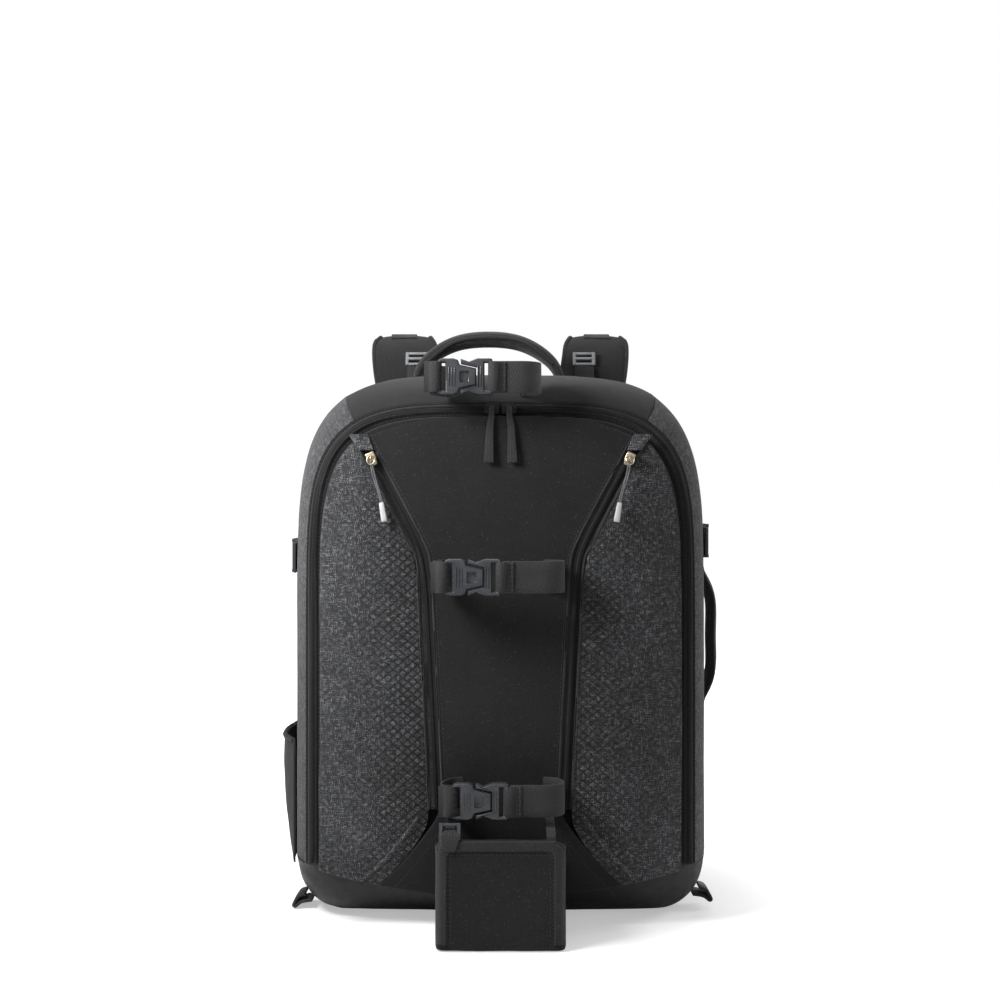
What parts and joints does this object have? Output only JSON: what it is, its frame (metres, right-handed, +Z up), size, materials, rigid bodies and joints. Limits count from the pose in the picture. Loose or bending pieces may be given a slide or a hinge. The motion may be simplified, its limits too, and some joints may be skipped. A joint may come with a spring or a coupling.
{
  "type": "camera backpack",
  "caption": "Camera backpack with a padded case, a zipped front pocket, tripod straps and cup, side handle and pocket, and a harness behind.",
  "frame": {"origin": "centre of the flat underside of the boot, on the ground", "axes": "+Z up towards the grab handle, -Y towards the front panel, +X to the right when the front is looked at"},
  "size_m": [0.3829, 0.3663, 0.5121],
  "materials": {
    "black_fabric": "woven black polyester, matt",
    "heather_fabric": "gray heather polyester, matt",
    "coated_fabric": "black coated base fabric, satin",
    "mesh_fabric": "black spacer mesh over foam",
    "webbing": "black ribbed webbing",
    "buckle_plastic": "dark gray acetal, satin gloss",
    "gray_plastic": "light gray acetal",
    "zip_tape": "black nylon coil zip on tape",
    "slider_metal": "aged nickel-brass slider",
    "pull_cord": "gray round cord",
    "pull_tip": "light gray moulded tip"
  },
  "bodies": {
    "root": {"boot": "coated_fabric", "gusset_left": "heather_fabric", "gusset_right": "heather_fabric", "pocket_panel_left": "heather_fabric", "pocket_panel_right": "heather_fabric", "garage_left": "heather_fabric", "garage_right": "heather_fabric", "top_gusset": "black_fabric", "lid_panel": "black_fabric", "pocket_panel_center": "black_fabric", "tripod_cup": "black_fabric", "side_pocket": "black_fabric", "back_wall": "mesh_fabric", "lumbar_pad": "mesh_fabric", "side_handle": "mesh_fabric", "grab_handle": "mesh_fabric", "back_pad_left": "mesh_fabric", "back_pad_right": "mesh_fabric", "shoulder_strap_left": "mesh_fabric", "shoulder_strap_right": "mesh_fabric", "waist_wing_left": "mesh_fabric", "waist_wing_right": "mesh_fabric", "top_strap_stub": "webbing", "top_strap_web": "webbing", "middle_strap_stub": "webbing", "middle_strap_web": "webbing", "lower_strap_stub": "webbing", "lower_strap_web": "webbing", "side_strap_left": "webbing", "side_strap_right": "webbing", "corner_tab_left": "webbing", "corner_tab_right": "webbing", "lower_web_left": "webbing", "lower_web_right": "webbing", "lifter_web_left": "webbing", "lifter_web_right": "webbing", "cup_web_left": "webbing", "cup_web_right": "webbing", "top_strap_female": "buckle_plastic", "top_strap_male": "buckle_plastic", "middle_strap_female": "buckle_plastic", "middle_strap_male": "buckle_plastic", "lower_strap_female": "buckle_plastic", "lower_strap_male": "buckle_plastic", "waist_buckle": "buckle_plastic", "strap_lock_left": "buckle_plastic", "strap_lock_right": "buckle_plastic", "lifter_buckle_left": "gray_plastic", "lifter_buckle_right": "gray_plastic", "main_zip": "zip_tape", "pocket_zip_left": "zip_tape", "pocket_zip_right": "zip_tape", "pocket_slider_left": "slider_metal", "pocket_slider_right": "slider_metal", "main_slider_left": "slider_metal", "main_slider_right": "slider_metal", "pull_cord_left": "pull_cord", "pull_cord_right": "pull_cord", "pull_tip_left": "pull_tip", "pull_tip_right": "pull_tip"}
  },
  "joints": []
}
